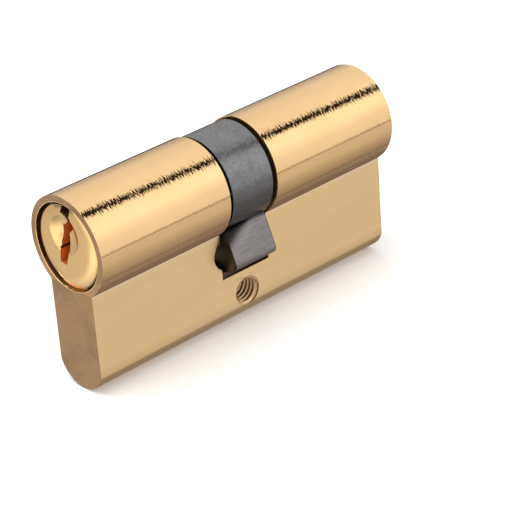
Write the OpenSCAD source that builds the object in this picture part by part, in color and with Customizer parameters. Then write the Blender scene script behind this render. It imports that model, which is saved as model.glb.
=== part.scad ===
// Euro profile door-lock cylinder, keyed from both ends, 62 mm over the two end faces.
// Millimetres. X runs along the plugs, Z up, bible (the flat lower leg) down.
// The origin is the middle of the M5 fixing-screw hole.
// The outward end at -X is called front, the one at +X rear.

/* [Body] */
// Length over both end faces
body_len = 62; // [54:1:120]
// Diameter of the round head
head_d = 16.8; // [16.4:0.1:17]
// Width of the bible
bible_w = 9.7; // [9.4:0.1:10]
// Height over head and bible
body_h = 33; // [32:0.1:33]
// Radius of the rounded bible bottom
bottom_r = 5.1; // [4.9:0.1:6]
// Distance of the fixing hole below the plug axis
hole_drop = 18.9; // [18:0.05:20.5]
// Thread size of the fixing screw
hole_d = 5; // [4:0.5:6]
// Width of the opening the cam turns in
gap_w = 10; // [9:0.1:11]
// Depth of the opening below the plug axis
gap_drop = 15; // [14.6:0.1:16]
// Diameter of the round relief beside the opening
relief_d = 5.4; // [4:0.1:6]

/* [Plugs] */
// Plug diameter
plug_d = 13; // [12:0.1:13.2]
// Diameter of the flange on the key side
flange_d = 13.6; // [13.2:0.1:14]
// Flange thickness
flange_t = 1.3; // [0.8:0.1:2]
// Diameter of the recess the flange turns in
recess_d = 14.6; // [14:0.1:15]
// Radius where the plug face starts to fall away
crown_r = 4.4; // [3:0.1:6]
// Radius of the arc it falls away along
crown_arc = 8; // [3:0.1:12]
// How far the plug face sits behind the end face
face_set = 0.03; // [0:0.01:1]
// Diameter of the key entry dish
dish_d = 6.7; // [4:0.1:8]
// Depth of the key entry dish
dish_t = 0.75; // [0.2:0.05:1.2]
// Middle of the dish, across
dish_y = 0.2; // [-1:0.1:1]
// Middle of the dish, above the plug axis
dish_z = 2.1; // [0:0.1:3]

/* [Pins] */
// Pin diameter
pin_d = 3; // [2.5:0.1:3.2]
// Distance between pins
pin_pitch = 4; // [3.6:0.1:4.5]
// First pin behind the end face
pin_first = 5.6; // [5:0.1:8]
// Driver pin length
driver_len = 5.5; // [4:0.1:6]

/* [Cam] */
// Cam ring diameter
cam_d = 16.2; // [15:0.1:16.6]
// Cam width
cam_w = 8.6; // [8:0.1:9.6]
// Reach of the cam lever from the plug axis
cam_reach = 14.6; // [14:0.1:15]
// Lever thickness
cam_t = 5.4; // [4:0.1:6]
// Angle of the lever from straight down at rest
cam_rest = 22; // [0:1:40]

/* [Hidden] */
$fn = 64;

half = body_len / 2;
head_r = head_d / 2;
gap = gap_w / 2;
axis_z = hole_drop;                 // plug axis above the fixing hole
bottom = body_h - head_r;           // bible bottom below the plug axis
run = 0.05;                         // running clearance on a radius
plug_r = plug_d / 2;
bore_r = plug_r + run;
pin_r = pin_d / 2;
hole_r = pin_r + run;
face = half - face_set;             // plug face from the centre
recess_t = face_set + flange_t + 0.07;
nose = 2.05;                        // inner end of a plug from the centre
clip_x = 4.93;                      // outer side of a circlip from the centre
clip_t = 0.45;
clip_r = 5.85;                      // circlip groove radius
web = 2;                            // half thickness of the web inside the cam
wing_r = 5.7;                       // clutch wing radius
wing_w = 3;                         // clutch wing width
wing_t = 2.6;                       // clutch wing thickness
wing_x = 0.55;                      // wing from the centre when engaged
throw = 1.6;                        // clutch travel
hub_r = 2.4;                        // clutch hub
hub_x = 0.3;                        // hub from the centre when engaged
hub_len = 4.9;
seat_r = 1.75;                      // spring seat bored into each hub
seat_t = 1.5;
shear = 6.6;                        // driver tops below the plug axis
key_end = 6.34;                     // lower ends of the key pins below the axis
pocket_top = 0.8;                   // top of the pin pockets above the axis
seal_top = bottom - 2.4;            // chamber seals from here ...
seal_end = bottom - 0.3;            // ... to here below the axis
// Depth of each key pin tip below the plug axis: the cuts of the key
tips = [1.7, 0.9, 1.3, 0.4, 1.0];

brass = "#c9a45a";
polished = "#d9b765";
steel = "#55565a";
zinc = "#8f9195";
silver = "#c5c5c0";

// ---- helpers ----

// A round bar along X from x0 to x1.
module bar(r, x0, x1) {
    translate([x0, 0, 0]) rotate([0, 90, 0]) cylinder(r = r, h = x1 - x0);
}

// A box given by its two corners.
module span(a, b) {
    translate(a) cube(b - a);
}

// Turns a front-side piece round to the rear, as the same part fitted the other way.
module rear() {
    rotate([0, 0, 180]) children();
}

// Raises work drawn on the plug axis into the part's frame.
module on_axis() {
    translate([0, 0, axis_z]) children();
}

// Position of pin i, 0 next to the end face.
function pin_x(i) = -half + pin_first + i * pin_pitch;

// ---- body ----

module profile_leg() {
    flank = bible_w / 2;
    intersection() {
        union() {
            span([-half, -flank, bottom_r - bottom], [half, flank, 0]);
            translate([0, 0, bottom_r - bottom]) bar(bottom_r, -half, half);
        }
        span([-half, -flank, -bottom - 1], [half, flank, 0]);
    }
}

module half_bores() {
    bar(bore_r, -half - 1, -gap + 1);
    bar(recess_d / 2, -half - 1, -half + recess_t);
    for (i = [0 : 4])
        translate([pin_x(i), 0, -bottom - 1]) cylinder(r = hole_r, h = bottom + 1);
}

module body() {
    color(brass) on_axis() difference() {
        union() {
            bar(head_r, -half, half);
            profile_leg();
        }
        span([-gap, -head_r - 1, -gap_drop], [gap, head_r + 1, head_r + 1]);
        half_bores();
        rear() half_bores();
        // M5 fixing-screw hole, square through the bible
        translate([0, bible_w / 2 + 1, -hole_drop]) rotate([90, 0, 0])
            cylinder(d = hole_d, h = bible_w + 2);
        // round relief in the front wall of the cam opening
        translate([1.31 - gap, bible_w / 2 + 1, -10.7]) rotate([90, 0, 0])
            cylinder(d = relief_d, h = bible_w + 2);
    }
}

// ---- plugs ----

// Zig-zag keyway section, seen along X: [across, up]. Open at the top.
keyway = [[0.45, 7.4], [0.5, 6.45], [0.8, 5.7], [-0.45, 5.35], [-0.8, 4.75], [-0.2, 4],
          [0.9, 3.3], [1.25, 1.55], [1.55, 0.55], [1.5, -0.25], [1.78, -0.5], [1.56, -0.8],
          [1.85, -2.95], [0.35, -3.1], [-0.2, -1.5], [-0.45, -0.6], [-0.3, 1.35], [-0.15, 2.1],
          [-1.5, 3.35], [-1.95, 4.5], [-1.5, 5.15], [-1.25, 5.4], [-1.4, 6], [-1.45, 7.4]];

// Half section of the flange: flat in the middle, falling away in an arc to the rim.
module flange_section() {
    steps = 8;
    rim = flange_d / 2 - crown_r;
    arc = [for (i = [0 : steps]) let (d = rim * i / steps)
           [crown_r + d, crown_arc - sqrt(crown_arc * crown_arc - d * d)]];
    polygon(concat([[0, 0]], arc, [[flange_d / 2, flange_t], [0, flange_t]]));
}

module plug() {
    difference() {
        union() {
            translate([-face, 0, 0]) rotate([0, 90, 0]) rotate_extrude() flange_section();
            bar(plug_r, flange_t / 2 - face, -nose);
        }
        // keyway along the whole pin row
        translate([-half - 1, 0, 0]) rotate([90, 0, 90])
            linear_extrude(height = half + 1 - 5.6) polygon(keyway);
        // key entry dish
        translate([-face - dish_sphere + dish_t, dish_y, dish_z]) sphere(r = dish_sphere);
        // pin pockets
        for (i = [0 : 4])
            translate([pin_x(i), 0, -plug_r - 1])
                cylinder(r = hole_r, h = plug_r + 1 + pocket_top);
        // circlip groove
        difference() {
            bar(plug_r + 1, -clip_x - 0.02, clip_t + 0.02 - clip_x);
            bar(clip_r, -clip_x - 1, clip_t + 1 - clip_x);
        }
        // clutch: hub bore and wing slot
        bar(hub_r + 0.1, -7, -nose + 1);
        span([-4.85, -plug_r - 1, -wing_w / 2 - run], [-nose + 1, plug_r + 1, wing_w / 2 + run]);
    }
}
dish_sphere = (dish_d * dish_d / 4 + dish_t * dish_t) / (2 * dish_t);

module plug_front() { color(polished) on_axis() plug(); }
module plug_rear() { color(polished) on_axis() rear() plug(); }

module circlip() {
    difference() {
        bar(7.2, -clip_x, clip_t - clip_x);
        bar(clip_r, -clip_x - 1, clip_t + 1 - clip_x);
        span([-clip_x - 1, -2.6, 0], [clip_t + 1 - clip_x, 2.6, 8]);
    }
}

module circlip_front() { color(steel) on_axis() circlip(); }
module circlip_rear() { color(steel) on_axis() rear() circlip(); }

// ---- cam and clutch ----

module cam() {
    edge = 1.2;                     // rounding of the lever's tip
    root = 7.2;                     // lever starts inside the ring's wall
    w = cam_w / 2;
    t = cam_t / 2;
    color(zinc) on_axis() difference() {
        union() {
            bar(cam_d / 2, -w, w);
            rotate([-cam_rest, 0, 0]) {
                span([-w, -t, edge - cam_reach], [w, t, -root]);
                span([-w, edge - t, -cam_reach], [w, t - edge, -root]);
                for (s = [-1, 1])
                    translate([0, s * (t - edge), edge - cam_reach]) bar(edge, -w, w);
            }
        }
        bar(bore_r, -w - 1, -web);
        bar(bore_r, web, w + 1);
        bar(hub_r + 0.2, -web - 1, web + 1);
        // slots of the web, picked up by the clutch wings
        intersection() {
            bar(wing_r + 0.15, -web - 1, web + 1);
            span([-web - 1, -8, -wing_w / 2 - run], [web + 1, 8, wing_w / 2 + run]);
        }
    }
}

module clutch() {
    difference() {
        union() {
            bar(hub_r, -hub_x - hub_len, -hub_x);
            intersection() {
                bar(wing_r, -wing_x - wing_t, -wing_x);
                span([-8, -8, -wing_w / 2], [0, 8, wing_w / 2]);
            }
        }
        bar(seat_r, -hub_x - seat_t, 0);
    }
}

// The front half is engaged, the rear half drawn back into its plug.
module clutch_front() { color(steel) on_axis() clutch(); }
module clutch_rear() { color(steel) on_axis() translate([throw, 0, 0]) rear() clutch(); }

module clutch_spring() {
    color(silver) on_axis() difference() {
        bar(1.5, -hub_x - seat_t, hub_x + throw + seat_t);
        bar(1.1, -hub_x - seat_t - 1, hub_x + throw + seat_t + 1);
    }
}

// ---- pins, springs and seals ----

// Key pin i: cone towards the keyway, small chamfer at the shear line.
module key_pin(i) {
    cone = 1.1;
    color(polished) on_axis() translate([pin_x(i), 0, -key_end]) {
        cylinder(r1 = pin_r - 0.2, r2 = pin_r, h = 0.2);
        translate([0, 0, 0.2]) cylinder(r = pin_r, h = key_end - tips[i] - cone - 0.2);
        translate([0, 0, key_end - tips[i] - cone])
            cylinder(r1 = pin_r, r2 = 0.5, h = cone);
    }
}

module driver(i) {
    edge = 0.2;
    color(silver) on_axis() translate([pin_x(i), 0, -shear - driver_len]) {
        cylinder(r1 = pin_r - edge, r2 = pin_r, h = edge);
        translate([0, 0, edge]) cylinder(r = pin_r, h = driver_len - 2 * edge);
        translate([0, 0, driver_len - edge])
            cylinder(r1 = pin_r, r2 = pin_r - edge, h = edge);
    }
}

module pin_spring(i) {
    color(silver) on_axis() translate([pin_x(i), 0, -seal_top]) difference() {
        cylinder(r = 1.4, h = seal_top - shear - driver_len);
        translate([0, 0, -1]) cylinder(r = 1.0, h = seal_top - shear - driver_len + 2);
    }
}

// Pressed-in plugs that close the pin chambers at the bottom.
module seals() {
    color(brass) on_axis() for (i = [0 : 4])
        translate([pin_x(i), 0, -seal_end]) cylinder(r = hole_r, h = seal_end - seal_top);
}

module seals_front() { seals(); }
module seals_rear() { rear() seals(); }

module key_pin_f1() { key_pin(0); }
module key_pin_f2() { key_pin(1); }
module key_pin_f3() { key_pin(2); }
module key_pin_f4() { key_pin(3); }
module key_pin_f5() { key_pin(4); }
module key_pin_r1() { rear() key_pin(0); }
module key_pin_r2() { rear() key_pin(1); }
module key_pin_r3() { rear() key_pin(2); }
module key_pin_r4() { rear() key_pin(3); }
module key_pin_r5() { rear() key_pin(4); }
module driver_f1() { driver(0); }
module driver_f2() { driver(1); }
module driver_f3() { driver(2); }
module driver_f4() { driver(3); }
module driver_f5() { driver(4); }
module driver_r1() { rear() driver(0); }
module driver_r2() { rear() driver(1); }
module driver_r3() { rear() driver(2); }
module driver_r4() { rear() driver(3); }
module driver_r5() { rear() driver(4); }
module spring_f1() { pin_spring(0); }
module spring_f2() { pin_spring(1); }
module spring_f3() { pin_spring(2); }
module spring_f4() { pin_spring(3); }
module spring_f5() { pin_spring(4); }
module spring_r1() { rear() pin_spring(0); }
module spring_r2() { rear() pin_spring(1); }
module spring_r3() { rear() pin_spring(2); }
module spring_r4() { rear() pin_spring(3); }
module spring_r5() { rear() pin_spring(4); }

body();
plug_front();
plug_rear();
cam();
clutch_front();
clutch_rear();
clutch_spring();
circlip_front();
circlip_rear();
seals_front();
seals_rear();
key_pin_f1();
key_pin_f2();
key_pin_f3();
key_pin_f4();
key_pin_f5();
key_pin_r1();
key_pin_r2();
key_pin_r3();
key_pin_r4();
key_pin_r5();
driver_f1();
driver_f2();
driver_f3();
driver_f4();
driver_f5();
driver_r1();
driver_r2();
driver_r3();
driver_r4();
driver_r5();
spring_f1();
spring_f2();
spring_f3();
spring_f4();
spring_f5();
spring_r1();
spring_r2();
spring_r3();
spring_r4();
spring_r5();
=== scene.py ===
import bpy
import math
from types import SimpleNamespace
from mathutils import Matrix, Vector


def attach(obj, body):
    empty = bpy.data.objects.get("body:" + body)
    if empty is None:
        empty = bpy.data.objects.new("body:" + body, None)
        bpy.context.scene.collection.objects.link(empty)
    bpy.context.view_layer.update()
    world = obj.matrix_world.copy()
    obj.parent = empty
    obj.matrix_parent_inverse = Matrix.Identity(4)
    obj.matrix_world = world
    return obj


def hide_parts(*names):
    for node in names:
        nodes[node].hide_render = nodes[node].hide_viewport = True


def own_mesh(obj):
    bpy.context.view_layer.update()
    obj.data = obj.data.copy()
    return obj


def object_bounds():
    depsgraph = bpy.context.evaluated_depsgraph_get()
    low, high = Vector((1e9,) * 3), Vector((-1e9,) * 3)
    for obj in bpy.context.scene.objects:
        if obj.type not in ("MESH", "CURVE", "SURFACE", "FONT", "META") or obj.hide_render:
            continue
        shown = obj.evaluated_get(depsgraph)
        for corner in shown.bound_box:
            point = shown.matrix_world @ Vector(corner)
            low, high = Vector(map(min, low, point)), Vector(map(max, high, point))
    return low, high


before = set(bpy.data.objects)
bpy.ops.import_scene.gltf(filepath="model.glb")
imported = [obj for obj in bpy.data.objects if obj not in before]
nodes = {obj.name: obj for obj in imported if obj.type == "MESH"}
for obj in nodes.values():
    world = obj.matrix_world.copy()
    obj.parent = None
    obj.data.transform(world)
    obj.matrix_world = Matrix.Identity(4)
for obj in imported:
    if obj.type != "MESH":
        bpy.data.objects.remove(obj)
cad_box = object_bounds()

# Sizes and places of the CAD model. X runs along the cylinder and Z up, from the middle of the
# fixing hole; "up" in the materials is the height above the plug axis.
MM = 0.001
AXIS_Z = 18.9 * MM              # plug axis
HALF = 31.0 * MM                # end faces, from the middle
HEAD_R = 8.4 * MM
CORNER_UP = -6.86 * MM          # where the head meets the bible
LEG_W = 9.7 * MM                # thickness of the bible
RECESS_R = 7.3 * MM             # recess round each plug
GAP_X = 5.0 * MM                # sides of the cam opening
FACE = 30.97 * MM               # plug faces, from the middle
DISH_R = 7.857 * MM             # key entry dish: radius of its sphere, depth and middle
DISH_T = 0.75 * MM
DISH_Y = 0.2 * MM
DISH_Z = 2.1 * MM
CAM_R = 8.1 * MM
CAM_X = 4.3 * MM                # flanks of the cam
LEAN = math.radians(22.0)       # the lever's lean from straight down
SEAT_DROP = 22.2 * MM           # tops of the chamber seals below the axis
SHEAR_DROP = 6.6 * MM           # tops of the driver pins below the axis
DRIVER_LEN = 5.5 * MM
PIN_FIRST = 5.6 * MM            # first pin behind the end face, and the pitch of the others
PIN_PITCH = 4.0 * MM
PIN_COUNT = 5
EDGE = 0.12 * MM                # rounding of the body's edges


# ---------------------------------------------------------------- shader networks

class Nodes:
    """Short way to write shader networks: every call returns an output socket."""

    def __init__(self, tree):
        self.t = tree
        tree.nodes.clear()

    def node(self, kind, **props):
        n = self.t.nodes.new(kind)
        for k, v in props.items():
            setattr(n, k, v)
        return n

    def put(self, socket, value):
        if isinstance(value, bpy.types.NodeSocket):
            self.t.links.new(value, socket)
        elif isinstance(value, tuple):
            socket.default_value = (*value, 1)
        elif value is not None:
            socket.default_value = value

    def math(self, op, a, b=None):
        n = self.node("ShaderNodeMath", operation=op)
        self.put(n.inputs[0], a)
        self.put(n.inputs[1], b)
        return n.outputs[0]

    def add(self, a, b):
        return self.math("ADD", a, b)

    def sub(self, a, b):
        return self.math("SUBTRACT", a, b)

    def rest(self, a):
        return self.math("SUBTRACT", 1.0, a)

    def size(self, a):
        return self.math("ABSOLUTE", a)

    def above(self, a, limit):
        return self.math("GREATER_THAN", a, limit)

    def under(self, a, limit):
        return self.math("LESS_THAN", a, limit)

    def times(self, first, *others):
        for other in others:
            first = self.math("MULTIPLY", first, other)
        return first

    def length(self, *parts):
        total = self.times(parts[0], parts[0])
        for part in parts[1:]:
            total = self.add(total, self.times(part, part))
        return self.math("SQRT", total)

    def xyz(self, vec):
        n = self.node("ShaderNodeSeparateXYZ")
        self.put(n.inputs[0], vec)
        return n.outputs[0], n.outputs[1], n.outputs[2]

    def vec(self, x, y, z):
        n = self.node("ShaderNodeCombineXYZ")
        for i, v in enumerate((x, y, z)):
            self.put(n.inputs[i], v)
        return n.outputs[0]

    def coords(self, which="Object"):
        return self.node("ShaderNodeTexCoord").outputs[which]

    def noise(self, vec, scale=1.0, detail=3.0, rough=0.5):
        n = self.node("ShaderNodeTexNoise")
        self.put(n.inputs["Vector"], vec)
        self.put(n.inputs["Scale"], scale)
        self.put(n.inputs["Detail"], detail)
        self.put(n.inputs["Roughness"], rough)
        return n.outputs[0]

    def streaks(self, parts, scales, detail=3.0, rough=0.5, layer=0.0):
        """Noise with its own scale along each part. With two parts, the layer picks the pattern."""
        scaled = [self.times(p, s) for p, s in zip(parts, scales)]
        if len(scaled) == 2:
            scaled.append(layer)
        return self.noise(self.vec(*scaled), 1.0, detail, rough)

    def spread(self, v, lo, hi, to_lo=0.0, to_hi=1.0):
        n = self.node("ShaderNodeMapRange", clamp=True)
        for i, x in enumerate((v, lo, hi, to_lo, to_hi)):
            self.put(n.inputs[i], x)
        return n.outputs[0]

    def mix(self, fac, a, b, blend="MIX"):
        n = self.node("ShaderNodeMix", data_type="RGBA", blend_type=blend)
        self.put(n.inputs[0], fac)
        self.put(n.inputs[6], a)
        self.put(n.inputs[7], b)
        return n.outputs[2]

    def mottle(self, v, pair):
        """Two tones of one colour, by a noise value."""
        return self.mix(self.spread(v, 0.3, 0.7), *pair)

    def ramp(self, fac, stops):
        n = self.node("ShaderNodeValToRGB")
        r = n.color_ramp
        while len(r.elements) < len(stops):
            r.elements.new(0.5)
        for e, (p, c) in zip(r.elements, stops):
            e.position = p
            e.color = (*c, 1)
        self.put(n.inputs[0], fac)
        return n.outputs[0]

    def bump(self, height, distance, normal=None, strength=1.0):
        n = self.node("ShaderNodeBump")
        self.put(n.inputs["Height"], height)
        self.put(n.inputs["Strength"], strength)
        self.put(n.inputs["Distance"], distance)
        self.put(n.inputs["Normal"], normal)
        return n.outputs[0]


def material(name):
    m = bpy.data.materials.new(name)
    m.use_nodes = True
    g = Nodes(m.node_tree)
    b = g.node("ShaderNodeBsdfPrincipled")
    o = g.node("ShaderNodeOutputMaterial")
    g.t.links.new(b.outputs[0], o.inputs[0])
    return m, g, b


def finish_metal(g, b, color, rough, normal, metallic=1.0):
    g.put(b.inputs["Base Color"], color)
    g.put(b.inputs["Metallic"], metallic)
    g.put(b.inputs["Roughness"], rough)
    g.put(b.inputs["Normal"], normal)


def axial(g):
    """Position in a node: the point, its parts, height above the plug axis and distance from it."""
    at = SimpleNamespace()
    at.p = g.coords()
    at.x, at.y, at.z = g.xyz(at.p)
    at.up = g.sub(at.z, AXIS_Z)
    at.rad = g.length(at.y, at.up)
    return at


# ---------------------------------------------------------------- brass of the body

HEAD = (0.86, 0.575, 0.28), (0.93, 0.63, 0.32)
HEAD_SHADED = (0.30, 0.18, 0.09)
# painted shade for the underside of the head
HEAD_UNDERSIDE_SHADE = (0.18, 0.094, 0.040)
SIDE = (0.97, 0.70, 0.375), (1.0, 0.73, 0.395)
SIDE_CLOUD = (0.92, 0.645, 0.335)
# painted highlight along the top of the bible's sides
SIDE_TOP_HIGHLIGHT = (1.0, 0.80, 0.58)
# painted shade, darker towards the rounded bottom of the bible
SIDE_LOW_SHADE = (0.55, 0.36, 0.19)
SIDE_BOTTOM_SHADE = (0.45, 0.28, 0.15)
END = (0.335, 0.196, 0.090), (0.395, 0.233, 0.110)
END_STAIN = (0.20, 0.115, 0.05)
# painted shade for the crease between head and bible
CORNER_SHADE = (0.02, 0.009, 0.003)
# painted shade for the head's inner faces, such as the recess round each plug
BORE_SHADE = (0.045, 0.017, 0.006), (0.09, 0.036, 0.013)
# painted shade inside the cam opening of the bible
OPENING_SHADE = (0.09, 0.04, 0.015), (0.18, 0.09, 0.038)
RELIEF = (0.80, 0.54, 0.24), (0.95, 0.70, 0.36)
LIP = (0.98, 0.70, 0.34)


def body_places(g):
    """Masks from 0 to 1 that say which face of the body a point is on."""
    at = axial(g)
    at.arc = g.times(g.math("ARCTAN2", at.y, at.up), HEAD_R)
    far = g.size(at.x)
    at.end = g.above(far, HALF - 0.04 * MM)
    side = g.rest(at.end)
    at.leg = g.under(at.up, CORNER_UP - 0.02 * MM)
    at.head = g.rest(at.leg)
    at.bores = g.times(g.spread(at.rad, 8.15 * MM, 8.30 * MM, 1.0, 0.0), at.head, side)
    inside = g.times(g.under(g.size(at.y), LEG_W / 2 - 0.13 * MM), g.above(at.z, 3.6 * MM), at.leg, side)
    at.relief = g.times(inside, g.above(far, GAP_X + 0.06 * MM))
    at.opening = g.sub(inside, at.relief)
    # underside of the head, out of the polishing belt's reach: rougher and less metallic, and darkened in
    # colour as painted shade
    at.dull = g.times(g.spread(at.up, -3.4 * MM, -4.7 * MM), at.head)
    # painted shade in the crease where the head meets the bible, patchy along its length
    along = g.vec(g.times(at.x, 500.0), 0.0, 0.0)
    patchy = g.spread(g.noise(along, 1.0, 3.0, 0.7), 0.3, 0.6, 0.6, 1.0)
    near = g.spread(g.size(g.sub(at.up, CORNER_UP)), 0.20 * MM, 0.42 * MM, 1.0, 0.0)
    outside = g.spread(g.size(at.y), 4.6 * MM, 4.7 * MM)
    at.corner = g.times(near, patchy, outside, at.head, side)
    # bright turned edge round the mouth of the recess
    at.lip = g.times(g.above(far, HALF - EDGE + 0.005 * MM), g.under(at.rad, RECESS_R + 0.11 * MM))
    return at


def body_colour(g, at, drawn, grain):
    cloud = g.streaks((at.x, at.y, at.z), (70.0, 240.0, 240.0), 3.0, 0.55)
    head = g.mottle(cloud, HEAD)
    head = g.mix(g.spread(at.up, -3.0 * MM, -3.9 * MM, 0.0, 0.6), head, HEAD_SHADED)
    # painted shade: the underside of the head darkened
    head = g.mix(at.dull, head, HEAD_UNDERSIDE_SHADE)
    side = g.mottle(drawn, SIDE)
    side = g.mix(g.spread(cloud, 0.35, 0.7, 0.0, 0.35), side, SIDE_CLOUD)
    # painted highlight: a lighter band along the top of the bible's sides
    side = g.mix(g.spread(at.up, -7.6 * MM, -7.0 * MM, 0.0, 0.7), side, SIDE_TOP_HIGHLIGHT)
    # painted shade: the bible darker towards its rounded bottom
    side = g.mix(g.spread(at.z, -0.6 * MM, -2.6 * MM, 0.0, 0.42), side, SIDE_LOW_SHADE)
    side = g.mix(g.spread(at.z, -2.6 * MM, -3.4 * MM, 0.0, 0.30), side, SIDE_BOTTOM_SHADE)
    stain = g.noise(at.p, 210.0, 3.0, 0.6)
    end = g.mix(g.spread(stain, 0.42, 0.66, 0.0, 0.55), g.mottle(grain, END), END_STAIN)
    c = g.mix(at.leg, head, side)
    c = g.mix(at.end, c, end)
    # painted shade along the crease between head and bible
    c = g.mix(at.corner, c, CORNER_SHADE)
    # painted shade: the head's inner faces darkened
    c = g.mix(at.bores, c, g.mottle(grain, BORE_SHADE))
    # painted shade: the walls of the cam opening darkened
    c = g.mix(at.opening, c, g.mottle(grain, OPENING_SHADE))
    c = g.mix(at.relief, c, g.mottle(grain, RELIEF))
    return g.mix(at.lip, c, LIP)


def body_brass():
    m, g, b = material("body_brass")
    at = body_places(g)
    # scratches that run round the polished head, and slow waves the polishing belt leaves
    turn = g.streaks((at.x, at.arc), (3100.0, 600.0), 1.0, 0.5)
    fine = g.streaks((at.x, at.arc), (9000.0, 800.0), 1.0, 0.5, 3.0)
    wave = g.streaks((at.x, at.arc), (60.0, 260.0), 2.0, 0.5, 7.0)
    # lines drawn along the milled sides of the bible
    drawn = g.streaks((at.x, at.y, at.z), (70.0, 2400.0, 2400.0), 3.0, 0.55)
    grain = g.noise(at.p, 2600.0, 3.0, 0.6)
    color = body_colour(g, at, drawn, grain)

    head = g.add(g.spread(fine, 0.3, 0.7, 0.02, 0.05), g.times(at.dull, 0.9))
    leg = g.spread(drawn, 0.3, 0.7, 0.34, 0.44)
    rough = g.add(g.times(leg, at.leg), g.times(head, at.head))
    rough = g.math("MAXIMUM", rough, g.times(at.end, 0.27))
    rough = g.sub(rough, g.times(at.lip, g.sub(rough, 0.12)))

    polished = g.rest(g.math("MAXIMUM", at.leg, at.end))
    normal = g.bump(g.times(turn, polished), 0.020 * MM)
    normal = g.bump(g.times(wave, polished), 0.010 * MM, normal)
    tooled = g.add(g.times(drawn, at.leg), g.times(grain, at.end))
    normal = g.bump(tooled, 0.0015 * MM, normal)

    metal = g.sub(g.rest(at.dull), g.times(at.bores, 0.5))
    metal = g.sub(metal, g.times(at.end, 0.45))
    metal = g.math("MAXIMUM", metal, at.lip)
    finish_metal(g, b, color, rough, normal, metal)
    return m


# ---------------------------------------------------------------- brass of the plugs

PLUG = (0.90, 0.60, 0.26), (0.96, 0.65, 0.29)
KEYWAY = (0.52, 0.10, 0.008), (0.75, 0.18, 0.02)
# painted shade, darker towards the top of the keyway
KEYWAY_TOP_SHADE = (0.07, 0.02, 0.006)
# painted shadow of a step in the keyway wall
KEYWAY_STEP_SHADOW = (0.07, 0.012, 0.003)


def plug_brass():
    m, g, b = material("plug_brass")
    at = axial(g)
    rings = g.streaks((at.rad, at.x), (4200.0, 4200.0), 3.0, 0.6)
    color = g.mottle(g.noise(at.p, 160.0), PLUG)
    # keyway walls, from just behind the face and the dish; both plugs are the same part turned round
    far = g.size(at.x)
    y = g.times(at.y, g.math("SIGN", at.x), -1.0)
    from_dish = g.length(g.sub(far, FACE + DISH_R - DISH_T), g.sub(y, DISH_Y), g.sub(at.up, DISH_Z))
    behind_face = g.spread(far, FACE - 0.35 * MM, FACE - 0.15 * MM, 1.0, 0.0)
    behind_dish = g.spread(from_dish, DISH_R + 0.12 * MM, DISH_R + 0.22 * MM)
    keyway = g.times(behind_face, behind_dish, g.under(g.size(y), 2.2 * MM), g.under(at.rad, 6.7 * MM))
    wall = g.mottle(g.noise(at.p, 900.0, 3.0, 0.6), KEYWAY)
    # painted shade: the keyway walls darker towards its top
    wall = g.mix(g.spread(at.up, 3.6 * MM, 5.0 * MM), wall, KEYWAY_TOP_SHADE)
    # painted shadow: a dark stripe where a step runs along the keyway wall
    step_shadow = g.spread(g.size(g.add(at.up, 0.55 * MM)), 0.22 * MM, 0.34 * MM, 0.9, 0.0)
    wall = g.mix(step_shadow, wall, KEYWAY_STEP_SHADOW)
    color = g.mix(keyway, color, wall)
    rough = g.add(g.spread(rings, 0.3, 0.7, 0.13, 0.19), g.times(keyway, 0.3))
    normal = g.bump(rings, 0.0012 * MM)
    finish_metal(g, b, color, rough, normal, g.spread(keyway, 0.0, 1.0, 1.0, 0.15))
    return m


# ---------------------------------------------------------------- steel of the cam

RING = (0.145, 0.145, 0.15), (0.235, 0.235, 0.24)
RING_CLOUD = (0.31, 0.305, 0.305)
# painted shade for the lower part of the cam ring
RING_LOW_SHADE = (0.04, 0.039, 0.038)
LEVER = (0.20, 0.185, 0.18), (0.29, 0.27, 0.265)
# painted shade for the crease at the lever's root
ROOT_SHADE = (0.018, 0.017, 0.017)
ROOT_OUT = 7.3 * MM             # where the lever leaves the ring: out from the axis and off the middle
ROOT_OFF = 3.3 * MM
PORES = (0.07, 0.068, 0.068)
# painted shade for the cam's flanks inside the notch
FLANK_SHADE = (0.035, 0.028, 0.022)


def cam_steel():
    m, g, b = material("cam_steel")
    at = axial(g)
    lever = g.spread(at.rad, CAM_R + 0.1 * MM, CAM_R + 0.7 * MM)
    flank = g.spread(g.size(at.x), CAM_X - 0.15 * MM, CAM_X - 0.05 * MM)
    grit = g.noise(at.p, 1700.0, 4.0, 0.65)
    pores = g.noise(at.p, 3600.0, 2.0, 0.5)
    cloud = g.noise(at.p, 240.0, 4.0, 0.6)
    milled = g.streaks((at.x, at.y, at.z), (300.0, 4200.0, 4200.0), 2.0, 0.6)
    c = g.mix(g.spread(grit, 0.3, 0.72), *RING)
    c = g.mix(g.spread(cloud, 0.35, 0.7, 0.0, 0.35), c, RING_CLOUD)
    # painted shade: the ring darker towards its lower part
    c = g.mix(g.spread(at.up, 2.0 * MM, -1.2 * MM, 0.0, 0.5), c, RING_LOW_SHADE)
    c = g.mix(lever, c, g.mottle(milled, LEVER))
    # painted shade in the crease where the lever leaves the ring
    out = g.add(g.times(at.y, -math.sin(LEAN)), g.times(at.up, -math.cos(LEAN)))
    off = g.size(g.add(g.times(at.y, -math.cos(LEAN)), g.times(at.up, math.sin(LEAN))))
    from_root = g.length(g.sub(out, ROOT_OUT), g.sub(off, ROOT_OFF))
    root = g.times(g.spread(from_root, 0.9 * MM, 1.8 * MM, 0.8, 0.0), g.rest(lever))
    c = g.mix(root, c, ROOT_SHADE)
    c = g.mix(g.spread(pores, 0.62, 0.74, 0.0, 0.6), c, PORES)
    # painted shade: the cam's flanks darkened
    c = g.mix(g.times(flank, 0.8), c, FLANK_SHADE)
    rough = g.add(g.spread(grit, 0.3, 0.7, 0.17, 0.28), g.times(lever, 0.12))
    normal = g.bump(g.times(grit, g.rest(flank)), 0.010 * MM)
    normal = g.bump(g.times(milled, lever), 0.004 * MM, normal)
    finish_metal(g, b, c, rough, normal, 0.9)
    return m


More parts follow.
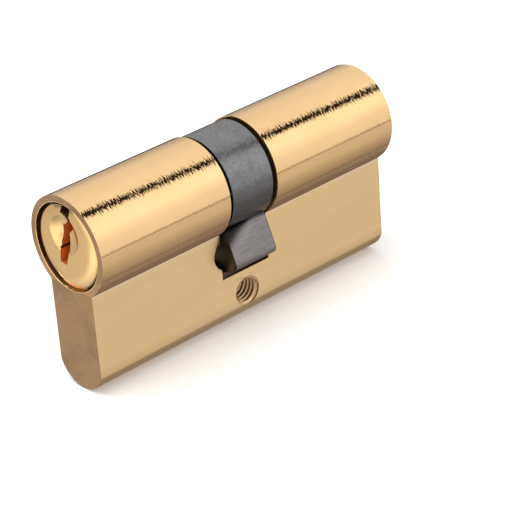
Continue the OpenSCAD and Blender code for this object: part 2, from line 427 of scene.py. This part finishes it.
# ---------------------------------------------------------------- metals of the smaller parts

def plain_metal(name, tones, rough, scale, turned=False, depth=0.002 * MM):
    """Fine grain, or lines round a turned pin, with tone and roughness varied along them."""
    m, g, b = material(name)
    p = g.coords()
    across = scale * 0.05 if turned else scale
    lines = g.streaks(g.xyz(p), (across, across, scale), 3.0, 0.6)
    tone = g.add(g.times(lines, 0.6), g.times(g.noise(p, 300.0), 0.4))
    color = g.mix(g.spread(tone, 0.35, 0.65), *tones)
    finish_metal(g, b, color, g.spread(lines, 0.3, 0.7, *rough), g.bump(lines, depth))
    return m


def thread_brass():
    m, g, b = material("thread_brass")
    chips = g.noise(g.coords(), 2800.0, 4.0, 0.6)
    color = g.mottle(chips, ((0.50, 0.30, 0.15), (0.72, 0.48, 0.28)))
    rough = g.spread(chips, 0.3, 0.7, 0.22, 0.36)
    finish_metal(g, b, color, rough, g.bump(chips, 0.004 * MM, strength=0.6))
    return m


def grey(dark, light, blue=0.0):
    """Two tones of steel, a little blue (or, below zero, a little warm)."""
    return (dark, dark, dark + blue), (light, light, light + blue)


PIN_BRASS = (0.80, 0.57, 0.28), (0.92, 0.69, 0.37)
SEAL_BRASS = (0.70, 0.49, 0.25), (0.84, 0.61, 0.34)
CIRCLIP_STEEL = (0.07, 0.07, 0.08), (0.14, 0.14, 0.155)

# Materials by the first word of a node's name; the thread is added to the body further down.
MATS = {
    "body": body_brass(),
    "plug": plug_brass(),
    "cam": cam_steel(),
    "clutch": plain_metal("clutch_steel", grey(0.20, 0.36, 0.005), (0.42, 0.55), 2200.0, depth=0.006 * MM),
    "circlip": plain_metal("circlip_steel", CIRCLIP_STEEL, (0.30, 0.42), 1600.0),
    "spring": plain_metal("spring_wire", grey(0.55, 0.72, 0.01), (0.18, 0.28), 2600.0),
    "key": plain_metal("pin_brass", PIN_BRASS, (0.14, 0.24), 5200.0, turned=True),
    "driver": plain_metal("driver_steel", grey(0.52, 0.66, -0.02), (0.16, 0.26), 5200.0, turned=True),
    "seals": plain_metal("seal_brass", SEAL_BRASS, (0.26, 0.38), 2400.0),
    "thread": thread_brass(),
}


def paint(o, m):
    o.data.materials.clear()
    o.data.materials.append(m)


def soften(name, width, angle=35.0):
    """Weld a node's CAD faces together and round the edges sharper than the angle, in degrees."""
    o = nodes[name]
    weld = o.modifiers.new("weld", "WELD")
    weld.merge_threshold = 0.004 * MM
    edge = o.modifiers.new("edge", "BEVEL")
    edge.width = width
    edge.segments = 2
    edge.limit_method = "ANGLE"
    edge.angle_limit = math.radians(angle)
    edge.miter_outer = "MITER_ARC"
    shade = o.modifiers.new("shade", "WEIGHTED_NORMAL")
    shade.mode = "FACE_AREA"
    shade.keep_sharp = False


for node_name, o in nodes.items():
    paint(o, MATS[node_name.split("_")[0]])
paint(nodes["clutch_spring"], MATS["spring"])

soften("body", EDGE)
soften("plug_front", 0.14 * MM, 18.0)
soften("plug_rear", 0.14 * MM, 18.0)
soften("cam", 0.15 * MM)


# ---------------------------------------------------------------- wound springs

WIRE = 0.4 * MM
CLOSED_TURNS = 0.9              # at each end of a coil
CLOSED_RISE = 0.6               # of the wire's thickness, for each closed turn
COIL_STEPS = 20                 # path points in a turn
WIRE_SIDES = 8


def add_mesh(name, verts, faces, mat, smooth=True):
    me = bpy.data.meshes.new(name)
    me.from_pydata(verts, [], faces)
    me.validate()
    o = bpy.data.objects.new(name, me)
    bpy.context.scene.collection.objects.link(o)
    me.materials.append(mat)
    if smooth:
        me.polygons.foreach_set("use_smooth", [True] * len(me.polygons))
    return o


def tube_faces(steps, sides, flip=False):
    """Skin over steps + 1 rings of points, with both ends closed; flip turns every face over."""
    faces = []
    for i in range(steps):
        for k in range(sides):
            a = i * sides + k
            b = i * sides + (k + 1) % sides
            faces.append((a, b, b + sides, a + sides) if flip else (a, a + sides, b + sides, b))
    first = range(sides)
    last = range(steps * sides, (steps + 1) * sides)
    faces.append(tuple(reversed(first) if flip else first))
    faces.append(tuple(last if flip else reversed(last)))
    return faces


def coil(length, radius, turns):
    """A compression spring from z 0 to length: closed, ground ends and an even pitch between."""
    r = WIRE / 2
    low = r + WIRE * CLOSED_RISE * CLOSED_TURNS
    pitch = (length - 2 * low) / (turns - 2 * CLOSED_TURNS)
    steps = turns * COIL_STEPS
    verts = []
    for i in range(steps + 1):
        t = i / COIL_STEPS
        if t < CLOSED_TURNS:
            z = r + WIRE * CLOSED_RISE * t
        elif t > turns - CLOSED_TURNS:
            z = length - r - WIRE * CLOSED_RISE * (turns - t)
        else:
            z = low + pitch * (t - CLOSED_TURNS)
        a = 2 * math.pi * t
        for k in range(WIRE_SIDES):
            b = 2 * math.pi * k / WIRE_SIDES
            out = radius + r * math.cos(b)
            height = min(max(z + r * math.sin(b), 0.0), length)
            verts.append(Vector((math.cos(a) * out, math.sin(a) * out, height)))
    return verts, tube_faces(steps, WIRE_SIDES)


def pin_springs():
    """One coil under each driver pin, from the seal up to the driver."""
    length = SEAT_DROP - SHEAR_DROP - DRIVER_LEN
    seat = AXIS_Z - SEAT_DROP
    verts, faces = coil(length, 1.2 * MM, 11)
    for side, sign in (("f", -1), ("r", 1)):
        for i in range(PIN_COUNT):
            foot = (sign * (HALF - PIN_FIRST - PIN_PITCH * i), 0, seat)
            name = "spring_%s%d" % (side, i + 1)
            o = add_mesh(name + "_coil", [v + Vector(foot) for v in verts], faces, MATS["spring"])
            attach(o, "body")
            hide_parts(name)
            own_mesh(o)


def clutch_coil():
    """The coil that pushes the two clutch halves apart, lying along the plug axis."""
    length = 5.2 * MM
    foot = (-1.8 * MM, 0, AXIS_Z)
    verts, faces = coil(length, 1.3 * MM, 6)
    turn = Matrix.Rotation(math.pi / 2, 4, "Y")
    o = add_mesh("clutch_spring_coil", [turn @ v + Vector(foot) for v in verts], faces, MATS["spring"])
    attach(o, "clutch_front")
    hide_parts("clutch_spring")
    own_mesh(o)


# ---------------------------------------------------------------- thread of the fixing hole

def screw_thread():
    """Ridge of the M5 x 0.8 thread round the wall of the fixing hole, cut off by both faces."""
    pitch, major, minor = 0.8 * MM, 2.52 * MM, 2.07 * MM
    per_turn = 40
    run_out = 0.15 * per_turn       # steps over which the ridge grows at each end
    y1 = LEG_W / 2 - 0.06 * MM
    y0 = -y1
    turns = (y1 - y0) / pitch
    steps = int(turns * per_turn)
    # across the ridge: places in pitches, and radius
    section = ((-0.46, major), (-0.10, minor), (0.10, minor), (0.46, major))
    verts = []
    for i in range(steps + 1):
        t = i / steps
        y = y0 + t * (y1 - y0)
        a = 2 * math.pi * turns * t
        grown = min(1.0, 0.1 + i / run_out, 0.1 + (steps - i) / run_out)
        for place, r in section:
            r = major - (major - r) * grown
            verts.append((math.cos(a) * r, min(max(y + place * pitch, y0), y1), math.sin(a) * r))
    faces = tube_faces(steps, len(section), flip=True)
    o = add_mesh("fixing_thread", verts, faces, MATS["thread"], smooth=False)
    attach(o, "body")


pin_springs()
clutch_coil()
screw_thread()


# ---------------------------------------------------------------- floor

def floor():
    me = bpy.data.meshes.new("floor")
    s = 3.0
    z = cad_box[0].z - 0.02 * MM
    me.from_pydata([(-s, -s, z), (s, -s, z), (s, s, z), (-s, s, z)], [], [(0, 1, 2, 3)])
    o = bpy.data.objects.new("floor", me)
    bpy.context.scene.collection.objects.link(o)
    m, g, b = material("floor_paper")
    paper = g.mottle(g.noise(g.coords(), 900.0), ((0.90, 0.90, 0.90), (0.93, 0.93, 0.93)))
    g.put(b.inputs["Base Color"], paper)
    b.inputs["Roughness"].default_value = 0.9
    b.inputs["Specular IOR Level"].default_value = 0.1
    b.inputs["Emission Color"].default_value = (1, 1, 1, 1)
    b.inputs["Emission Strength"].default_value = 0.12
    me.materials.append(m)
    o.visible_glossy = False


# ---------------------------------------------------------------- studio

# What the metal mirrors, as brightness by angle round the length of the object (degrees from
# straight up, positive towards -Y): past the rear end, and before the front end.
PAST_REAR = (
    (-180, 0.40), (-130, 0.45), (-126, 0.05), (-101, 0.06), (-97, 0.44), (-90, 0.52), (-79, 0.62),
    (-67, 0.78), (-55, 0.90), (-35, 0.96), (-10, 1.05), (8, 1.05), (24, 1.18), (40, 1.30), (56, 1.30),
    (68, 1.16), (80, 1.02), (95, 0.98), (106, 0.92), (107.3, 0.46), (109.5, 0.46), (110.5, 0.74),
    (128, 0.70), (140, 0.58), (160, 0.42), (180, 0.26),
)
BEFORE_FRONT = (
    (-180, 1.1), (-152, 1.15), (-140, 1.40), (-133, 1.30), (-129.5, 0.95), (-127, 0.74), (-122, 0.70),
    (-105, 0.60), (-80, 0.62), (-50, 0.80), (-15, 1.0), (30, 1.1), (70, 0.95), (100, 0.74), (130, 0.68),
    (165, 0.80), (180, 1.1),
)
DIM = 0.75                      # keeps the panels' colours below 1; the background's strength undoes it
GAP_COLOUR = (0.022, 0.017, 0.012)


def panel_tone(brightness):
    """Neutral when bright, warmer when dim."""
    cool = min(max((brightness - 0.3) / 0.6, 0.0), 1.0)
    v = brightness * DIM
    return v, v * (0.88 + 0.12 * cool), v * (0.80 + 0.20 * cool)


def panels(g, angle, stops):
    turn = g.spread(angle, -180.0, 180.0)
    return g.ramp(turn, [((a + 180) / 360, panel_tone(v)) for a, v in stops])


def studio():
    """Soft surround: bright panels above, dimmer and warmer below, and a narrow gap between two."""
    w = bpy.data.worlds.new("studio")
    bpy.context.scene.world = w
    w.use_nodes = True
    g = Nodes(w.node_tree)
    x, y, z = g.xyz(g.coords("Generated"))
    angle = g.times(g.math("ARCTAN2", g.times(y, -1.0), z), math.degrees(1.0))

    dimmed = g.spread(z, -0.74, -0.50, 0.34, 1.0)
    front = g.mix(1.0, panels(g, angle, BEFORE_FRONT), g.vec(dimmed, dimmed, dimmed), "MULTIPLY")
    front = g.mix(g.spread(x, -0.80, -0.93), front, (1.0, 0.97, 0.90))
    light = g.mix(g.spread(x, -0.25, 0.25), front, panels(g, angle, PAST_REAR))

    # the gap is 14 degrees from straight up where x is 0.53, and slants
    centre = g.add(14.0, g.times(g.sub(x, 0.53), 100.0))
    off = g.sub(angle, centre)
    gap = g.times(g.spread(off, -7.4, -6.6), g.spread(off, 6.6, 7.4, 1.0, 0.0), g.spread(x, 0.25, 0.4))
    light = g.mix(gap, light, GAP_COLOUR)

    bg = g.node("ShaderNodeBackground")
    g.put(bg.inputs["Color"], light)
    g.put(bg.inputs["Strength"], 1.0 / DIM)
    out = g.node("ShaderNodeOutputWorld")
    g.t.links.new(bg.outputs[0], out.inputs[0])


def top_light():
    lamp = bpy.data.lights.new("top_soft", "AREA")
    lamp.energy = 2.0
    lamp.shape = "RECTANGLE"
    lamp.size = 0.5
    lamp.size_y = 0.5
    o = bpy.data.objects.new("top_soft", lamp)
    bpy.context.scene.collection.objects.link(o)
    at = Vector((-0.15, 0.1, 0.6))
    o.matrix_world = Matrix.Translation(at) @ (-at).to_track_quat("-Z", "Y").to_matrix().to_4x4()


def camera():
    c = bpy.data.cameras.new("camera")
    c.sensor_width = 36.0
    c.lens = 153.65
    c.clip_start = 0.01
    c.clip_end = 20.0
    o = bpy.data.objects.new("camera", c)
    bpy.context.scene.collection.objects.link(o)
    azimuth = math.radians(-131.2268)
    height = math.radians(27.8694)
    roll = math.radians(-4.4427)
    distance = 0.34945
    target = Vector((0.001923, -0.005323, 0.005625))
    flat = math.cos(height)
    back = Vector((math.cos(azimuth) * flat, math.sin(azimuth) * flat, math.sin(height)))
    turn = back.to_track_quat("Z", "Y").to_matrix().to_4x4() @ Matrix.Rotation(roll, 4, "Z")
    o.matrix_world = Matrix.Translation(target + back * distance) @ turn
    bpy.context.scene.camera = o


floor()
studio()
top_light()
camera()
bpy.context.scene.view_settings.view_transform = "Standard"
